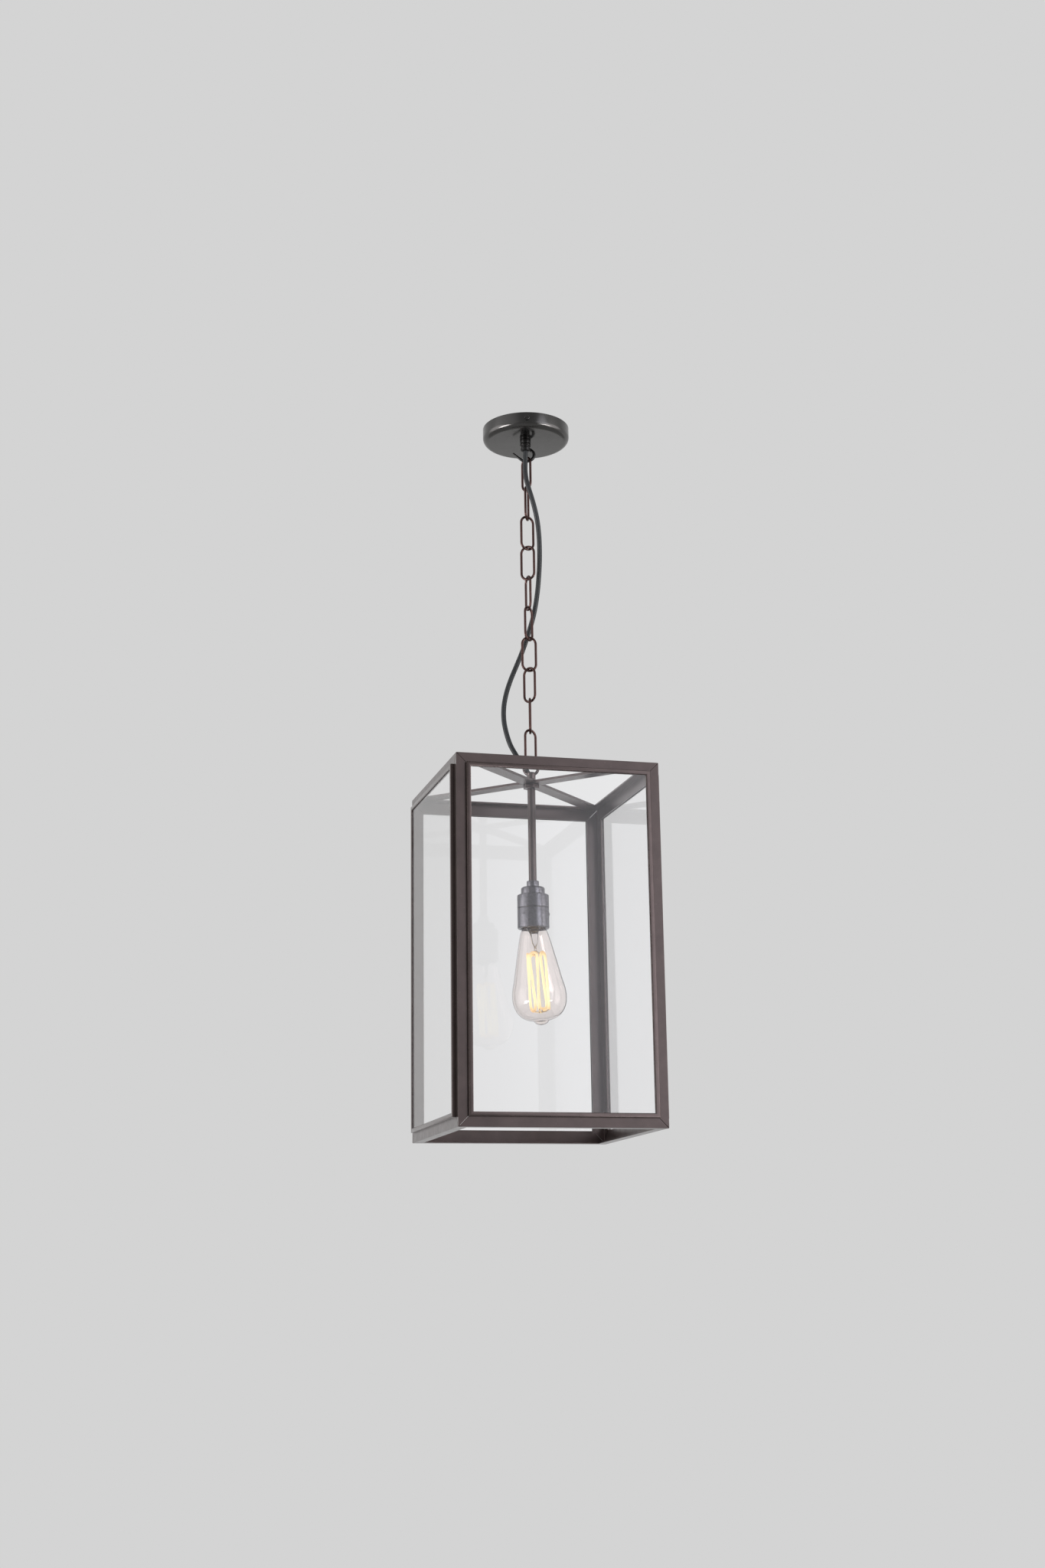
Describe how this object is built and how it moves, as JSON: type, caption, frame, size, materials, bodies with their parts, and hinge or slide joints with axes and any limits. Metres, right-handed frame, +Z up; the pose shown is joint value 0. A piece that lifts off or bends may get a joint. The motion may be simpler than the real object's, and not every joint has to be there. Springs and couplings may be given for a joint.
{
  "type": "hanging glazed lantern",
  "caption": "Square glazed lantern in dark bronze metal, hung from a round ceiling rose on a long-link chain with a trailing cable and a caged-filament bulb.",
  "frame": {"origin": "centre of the ceiling plane, on the top face of the mounting strap", "axes": "+Z up into the ceiling, -Y out of the lantern's front pane, +X to the lantern's right side"},
  "size_m": [0.2506, 0.2506, 0.8805],
  "materials": {
    "bronze": "satin dark bronze lacquer, slightly brushed",
    "glazing_bronze": "satin dark bronze lacquer",
    "antique_chain": "reddish antique bronze plate, semi-gloss",
    "gunmetal": "smooth satin gunmetal plate",
    "black_metal": "semi-gloss black plate",
    "zinc_steel": "zinc plated",
    "holder_metal": "satin grey nickel",
    "brass": "plain brass",
    "porcelain": "glazed white ceramic",
    "terminal_plastic": "natural nylon",
    "cable_sleeve": "smooth dark grey sheath",
    "clear_glass": "clear float glass",
    "bulb_glass": "clear, slightly warm blown glass",
    "glowing_wire": "glowing filament wire"
  },
  "bodies": {
    "root": {"mounting_strap": "zinc_steel", "ceiling_rose": "gunmetal", "rose_screw_front": "gunmetal", "rose_screw_back": "gunmetal", "terminal_block": "terminal_plastic", "ceiling_hook": "black_metal", "hook_nut": "zinc_steel", "cord_grip_body": "black_metal", "cord_grip_cap": "black_metal", "cord_grip_backnut": "zinc_steel", "cable": "cable_sleeve"},
    "link_01": {"chain_link_01": "antique_chain"},
    "link_02": {"chain_link_02": "antique_chain"},
    "link_03": {"chain_link_03": "antique_chain"},
    "link_04": {"chain_link_04": "antique_chain"},
    "link_05": {"chain_link_05": "antique_chain"},
    "link_06": {"chain_link_06": "antique_chain"},
    "link_07": {"chain_link_07": "antique_chain"},
    "link_08": {"chain_link_08": "antique_chain"},
    "link_09": {"chain_link_09": "antique_chain"},
    "link_10": {"chain_link_10": "antique_chain"},
    "lantern": {"top_rail_front": "bronze", "bottom_rail_front": "bronze", "glazing_frame_front": "glazing_bronze", "glass_pane_front": "clear_glass", "top_rail_right": "bronze", "bottom_rail_right": "bronze", "glazing_frame_right": "glazing_bronze", "glass_pane_right": "clear_glass", "top_rail_back": "bronze", "bottom_rail_back": "bronze", "glazing_frame_back": "glazing_bronze", "glass_pane_back": "clear_glass", "top_rail_left": "bronze", "bottom_rail_left": "bronze", "glazing_frame_left": "glazing_bronze", "glass_pane_left": "clear_glass", "post_front_left": "bronze", "post_front_right": "bronze", "post_back_right": "bronze", "post_back_left": "bronze", "cross_bar_a": "bronze", "cross_bar_b": "bronze", "top_loop": "bronze", "hub_nut": "bronze", "drop_rod": "bronze", "rod_collar": "holder_metal", "lampholder_cap": "holder_metal", "lampholder_body": "holder_metal", "lampholder_skirt": "holder_metal", "lampholder_screw_1": "holder_metal", "lampholder_screw_2": "holder_metal", "lampholder_screw_3": "holder_metal", "lampholder_insulator": "porcelain", "thread_shell": "brass", "centre_contact": "brass"},
    "bulb": {"bulb_cap": "brass", "bulb_glass": "bulb_glass", "bulb_stem": "clear_glass", "bulb_filament": "glowing_wire"}
  },
  "joints": [
    {"name": "hook_swing", "type": "hinge", "parent": "root", "child": "link_01", "pos_m": [0, 0, -0.0425], "axis": [0.9659, -0.2588, 0], "range_deg": [-20, 20], "deforming": ["cable"]},
    {"name": "link_01_swing", "type": "hinge", "parent": "link_01", "child": "link_02", "pos_m": [0, 0, -0.0814], "axis": [0.3746, -0.9272, 0], "range_deg": [-20, 20], "deforming": ["cable"]},
    {"name": "link_02_swing", "type": "hinge", "parent": "link_02", "child": "link_03", "pos_m": [0, 0, -0.1208], "axis": [-0.4617, -0.887, 0], "range_deg": [-20, 20], "deforming": ["cable"]},
    {"name": "link_03_swing", "type": "hinge", "parent": "link_03", "child": "link_04", "pos_m": [0, 0, -0.1602], "axis": [-0.9744, -0.225, 0], "range_deg": [-20, 20], "deforming": ["cable"]},
    {"name": "link_04_swing", "type": "hinge", "parent": "link_04", "child": "link_05", "pos_m": [0, 0, -0.1996], "axis": [-0.8039, 0.5948, 0], "range_deg": [-20, 20], "deforming": ["cable"]},
    {"name": "link_05_swing", "type": "hinge", "parent": "link_05", "child": "link_06", "pos_m": [0, 0, -0.239], "axis": [-0.0698, 0.9976, 0], "range_deg": [-20, 20], "deforming": ["cable"]},
    {"name": "link_06_swing", "type": "hinge", "parent": "link_06", "child": "link_07", "pos_m": [0, 0, -0.2784], "axis": [0.7133, 0.7009, 0], "range_deg": [-20, 20], "deforming": ["cable"]},
    {"name": "link_07_swing", "type": "hinge", "parent": "link_07", "child": "link_08", "pos_m": [0, 0, -0.3178], "axis": [0.9962, -0.0872, 0], "range_deg": [-20, 20], "deforming": ["cable"]},
    {"name": "link_08_swing", "type": "hinge", "parent": "link_08", "child": "link_09", "pos_m": [0, 0, -0.3572], "axis": [0.5807, -0.8141, 0], "range_deg": [-20, 20], "deforming": ["cable"]},
    {"name": "link_09_swing", "type": "hinge", "parent": "link_09", "child": "link_10", "pos_m": [0, 0, -0.3966], "axis": [-0.2419, -0.9703, 0], "range_deg": [-20, 20], "deforming": ["cable"]},
    {"name": "lantern_swing", "type": "hinge", "parent": "link_10", "child": "lantern", "pos_m": [0, 0, -0.436], "axis": [-0.8949, -0.4462, 0], "range_deg": [-20, 20], "deforming": ["cable"]},
    {"name": "bulb_screw", "type": "hinge", "parent": "lantern", "child": "bulb", "pos_m": [0, 0, -0.6355], "axis": [0, 0, -1], "range_deg": [0, 360]}
  ]
}
